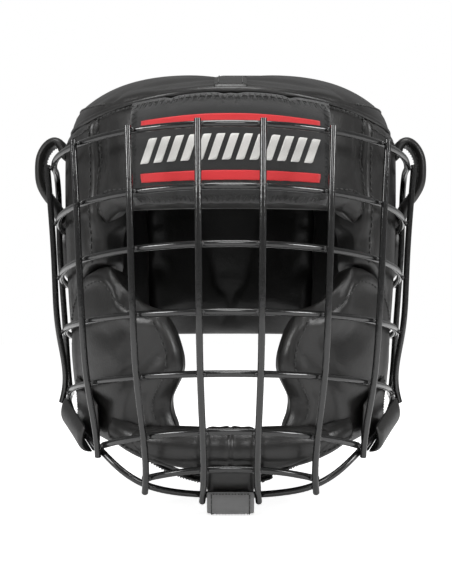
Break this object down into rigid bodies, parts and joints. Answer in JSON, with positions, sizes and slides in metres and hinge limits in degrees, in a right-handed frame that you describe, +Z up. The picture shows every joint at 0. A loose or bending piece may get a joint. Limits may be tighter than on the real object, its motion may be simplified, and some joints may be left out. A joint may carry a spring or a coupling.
{
  "type": "boxing headgear",
  "caption": "Padded leather boxing headgear with a welded wire face cage that swings up on side belt loops once its lower straps are opened.",
  "frame": {"origin": "centre of the head cavity, on the plane of symmetry", "axes": "+X to the wearer's left, -Y the way the face looks, +Z up"},
  "size_m": [0.2532, 0.2964, 0.2808],
  "materials": {
    "cover_leather": "satin",
    "strap_leather": "satin",
    "lining": "matte",
    "foam": "matte",
    "patch_fabric": "woven",
    "hook_loop": "fuzzy",
    "coated_wire": "gloss"
  },
  "bodies": {
    "helmet": {"forehead_cover": "cover_leather", "forehead_foam": "foam", "forehead_lining": "lining", "back_cover": "cover_leather", "back_foam": "foam", "back_lining": "lining", "side_left_cover": "cover_leather", "side_left_foam": "foam", "side_left_lining": "lining", "side_right_cover": "cover_leather", "side_right_foam": "foam", "side_right_lining": "lining", "cheek_left_cover": "cover_leather", "cheek_left_foam": "foam", "cheek_left_lining": "lining", "cheek_right_cover": "cover_leather", "cheek_right_foam": "foam", "cheek_right_lining": "lining", "crown_left_cover": "cover_leather", "crown_left_foam": "foam", "crown_right_cover": "cover_leather", "crown_right_foam": "foam", "ear_ring_left": "cover_leather", "ear_ring_right": "cover_leather", "upper_strap_left": "strap_leather", "upper_strap_right": "strap_leather", "lower_strap_left": "strap_leather", "lower_strap_right": "strap_leather", "top_binding": "cover_leather", "front_patch": "patch_fabric", "chin_guard_cover": "cover_leather", "chin_guard_foam": "foam", "chin_tongue": "cover_leather", "chin_loop": "strap_leather", "chin_strap_left": "strap_leather", "rear_loop_patch": "hook_loop"},
    "cage": {"cage_rim": "coated_wire", "cage_upright_left_1": "coated_wire", "cage_upright_left_2": "coated_wire", "cage_upright_left_3": "coated_wire", "cage_upright_left_4": "coated_wire", "cage_upright_right_1": "coated_wire", "cage_upright_right_2": "coated_wire", "cage_upright_right_3": "coated_wire", "cage_upright_right_4": "coated_wire", "cage_crossbar_1": "coated_wire", "cage_crossbar_2": "coated_wire", "cage_crossbar_3": "coated_wire", "cage_crossbar_4": "coated_wire", "cage_crossbar_5": "coated_wire", "cage_crossbar_6": "coated_wire"},
    "crown_tab": {"crown_tab": "strap_leather"},
    "chin_flap": {"chin_flap": "strap_leather"},
    "chin_strap": {"chin_strap_right": "strap_leather"},
    "rear_strap": {"rear_strap": "strap_leather"},
    "upper_flap_left": {"upper_flap_left": "strap_leather"},
    "lower_flap_left": {"lower_flap_left": "strap_leather"},
    "upper_flap_right": {"upper_flap_right": "strap_leather"},
    "lower_flap_right": {"lower_flap_right": "strap_leather"}
  },
  "joints": [
    {"name": "cage_swing", "type": "hinge", "parent": "helmet", "child": "cage", "pos_m": [0, -0.005, 0.08], "axis": [-1, 0, 0], "range_deg": [0, 75], "deforming": ["upper_strap_left", "upper_strap_right", "upper_flap_left", "upper_flap_right", "lower_strap_left", "lower_strap_right", "lower_flap_left", "lower_flap_right", "chin_tongue", "chin_loop", "chin_flap"]},
    {"name": "lower_flap_left_peel", "type": "hinge", "parent": "helmet", "child": "lower_flap_left", "pos_m": [0.09315, -0.05038, -0.09256], "axis": [0.3549, 0.8676, 0.3483], "range_deg": [0, 120]},
    {"name": "lower_flap_right_peel", "type": "hinge", "parent": "helmet", "child": "lower_flap_right", "pos_m": [-0.09315, -0.05038, -0.09256], "axis": [0.3549, -0.8676, -0.3483], "range_deg": [0, 120]},
    {"name": "chin_flap_peel", "type": "hinge", "parent": "helmet", "child": "chin_flap", "pos_m": [0, -0.099, -0.1352], "axis": [1, 0, 0], "range_deg": [0, 120]},
    {"name": "upper_flap_left_peel", "type": "hinge", "parent": "helmet", "child": "upper_flap_left", "pos_m": [0.1267, -0.005, 0.079], "axis": [0, -1, 0], "range_deg": [0, 90]},
    {"name": "upper_flap_right_peel", "type": "hinge", "parent": "helmet", "child": "upper_flap_right", "pos_m": [-0.1267, -0.005, 0.079], "axis": [0, 1, 0], "range_deg": [0, 90]},
    {"name": "chin_strap_release", "type": "hinge", "parent": "helmet", "child": "chin_strap", "pos_m": [-0.066, -0.0735, -0.0985], "axis": [0, 1, 0], "range_deg": [0, 70]},
    {"name": "rear_strap_release", "type": "hinge", "parent": "helmet", "child": "rear_strap", "pos_m": [0.0892, 0.087, 0.038], "axis": [0, 0, -1], "range_deg": [0, 90]},
    {"name": "crown_tab_release", "type": "hinge", "parent": "helmet", "child": "crown_tab", "pos_m": [-0.008, 0.014, 0.1455], "axis": [0, -1, 0], "range_deg": [0, 110]}
  ]
}
